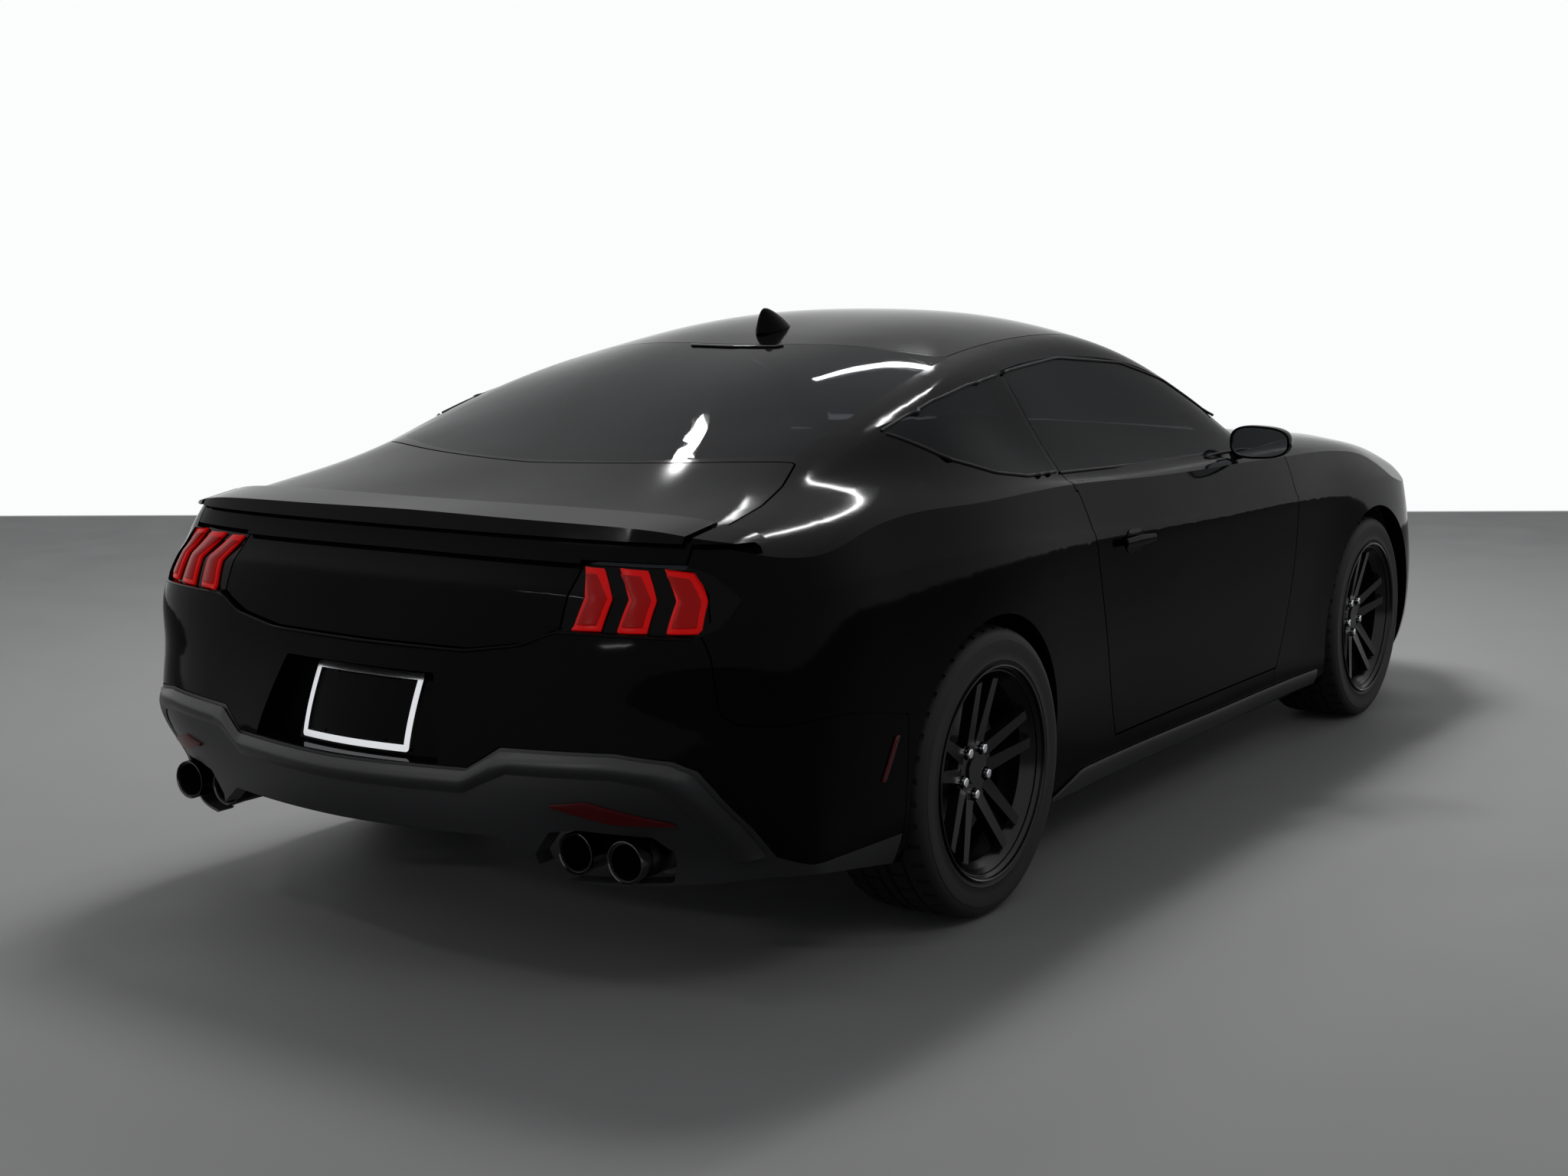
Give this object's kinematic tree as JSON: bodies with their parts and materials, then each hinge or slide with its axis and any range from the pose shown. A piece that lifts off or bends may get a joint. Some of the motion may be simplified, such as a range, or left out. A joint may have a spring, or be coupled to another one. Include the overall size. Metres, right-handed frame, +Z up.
{
  "type": "two-door fastback coupe car",
  "caption": "Two-door fastback coupe with opening doors, hood and decklid, steered front wheels, turning wheels and a furnished cabin.",
  "frame": {"origin": "on the ground under the middle of the car's box", "axes": "+X forward, +Y to the left, +Z up"},
  "size_m": [4.8126, 2.066, 1.3907],
  "materials": {
    "paint": "gloss black",
    "gloss_trim": "gloss black",
    "trim": "satin dark grey",
    "dark_glass": "tinted",
    "clear_lens": "clear lens over a dark bowl",
    "red_lens": "red lens",
    "wheel_finish": "gloss black alloy",
    "tyre_rubber": "dark rubber",
    "iron": "bare casting",
    "under_steel": "satin black",
    "aluminium": "cast",
    "steel": "dull",
    "bright_frame": "polished frame",
    "seat_leather": "black",
    "wheel_leather": "black",
    "dash_plastic": "soft black"
  },
  "bodies": {
    "body_shell": {"body_side_left": "paint", "body_side_right": "paint", "dashboard": "dash_plastic", "engine_block": "aluminium", "exhaust_system": "steel", "floor_pan": "under_steel", "front_bumper": "paint", "front_fenders": "paint", "front_seats": "seat_leather", "front_structure": "under_steel", "front_suspension": "iron", "grille": "trim", "headlamps": "clear_lens", "plate_frame": "bright_frame", "quarter_windows": "dark_glass", "rear_bumper": "paint", "rear_diffuser": "trim", "rear_seat": "seat_leather", "rear_suspension": "iron", "rear_window": "dark_glass", "roof_panel": "paint", "tail_lamps": "red_lens", "windshield": "dark_glass"},
    "left_door": {"door_left": "paint", "door_glass_left": "dark_glass", "mirror_left": "paint"},
    "right_door": {"door_right": "paint", "door_glass_right": "dark_glass", "mirror_right": "paint"},
    "hood_panel": {"hood": "paint"},
    "trunk_lid": {"decklid": "paint", "rear_spoiler": "gloss_trim"},
    "hand_wheel": {"steering_wheel": "wheel_leather"},
    "left_knuckle": {"knuckle_left": "iron"},
    "right_knuckle": {"knuckle_right": "iron"},
    "front_left_wheel": {"wheel_front_left": "wheel_finish", "tyre_front_left": "tyre_rubber", "brake_disc_front_left": "iron"},
    "front_right_wheel": {"wheel_front_right": "wheel_finish", "tyre_front_right": "tyre_rubber", "brake_disc_front_right": "iron"},
    "rear_left_wheel": {"wheel_rear_left": "wheel_finish", "tyre_rear_left": "tyre_rubber", "brake_disc_rear_left": "iron"},
    "rear_right_wheel": {"wheel_rear_right": "wheel_finish", "tyre_rear_right": "tyre_rubber", "brake_disc_rear_right": "iron"}
  },
  "joints": [
    {"name": "door_left_hinge", "type": "hinge", "parent": "body_shell", "child": "left_door", "pos_m": [0.77, 0.922, 0.6], "axis": [0, 0, -1], "range_deg": [0, 62]},
    {"name": "door_right_hinge", "type": "hinge", "parent": "body_shell", "child": "right_door", "pos_m": [0.77, -0.922, 0.6], "axis": [0, 0, 1], "range_deg": [0, 62]},
    {"name": "hood_hinge", "type": "hinge", "parent": "body_shell", "child": "hood_panel", "pos_m": [0.735, 0, 1.012], "axis": [0, -1, 0], "range_deg": [0, 60]},
    {"name": "trunk_lid_hinge", "type": "hinge", "parent": "body_shell", "child": "trunk_lid", "pos_m": [-1.57, 0, 1.075], "axis": [0, 1, 0], "range_deg": [0, 70]},
    {"name": "steer_left", "type": "hinge", "parent": "body_shell", "child": "left_knuckle", "pos_m": [1.4655, 0.731, 0.341], "axis": [0, 0, 1], "range_deg": [-34, 34]},
    {"name": "steer_right", "type": "hinge", "parent": "body_shell", "child": "right_knuckle", "pos_m": [1.4655, -0.731, 0.341], "axis": [0, 0, 1], "range_deg": [-34, 34]},
    {"name": "steering_wheel_turn", "type": "hinge", "parent": "body_shell", "child": "hand_wheel", "pos_m": [0.25, 0.37, 0.85], "axis": [-0.9063, 0, 0.4226], "range_deg": [-480, 480]},
    {"name": "front_left_spin", "type": "hinge", "parent": "left_knuckle", "child": "front_left_wheel", "pos_m": [1.4655, 0.791, 0.341], "axis": [0, 1, 0], "continuous": true},
    {"name": "front_right_spin", "type": "hinge", "parent": "right_knuckle", "child": "front_right_wheel", "pos_m": [1.4655, -0.791, 0.341], "axis": [0, 1, 0], "continuous": true},
    {"name": "rear_left_spin", "type": "hinge", "parent": "body_shell", "child": "rear_left_wheel", "pos_m": [-1.2545, 0.824, 0.341], "axis": [0, 1, 0], "continuous": true},
    {"name": "rear_right_spin", "type": "hinge", "parent": "body_shell", "child": "rear_right_wheel", "pos_m": [-1.2545, -0.824, 0.341], "axis": [0, 1, 0], "continuous": true}
  ],
  "couplings": [
    {"joint": "steer_right", "follows": "steer_left", "ratio": 1},
    {"joint": "steering_wheel_turn", "follows": "steer_left", "ratio": 14}
  ]
}
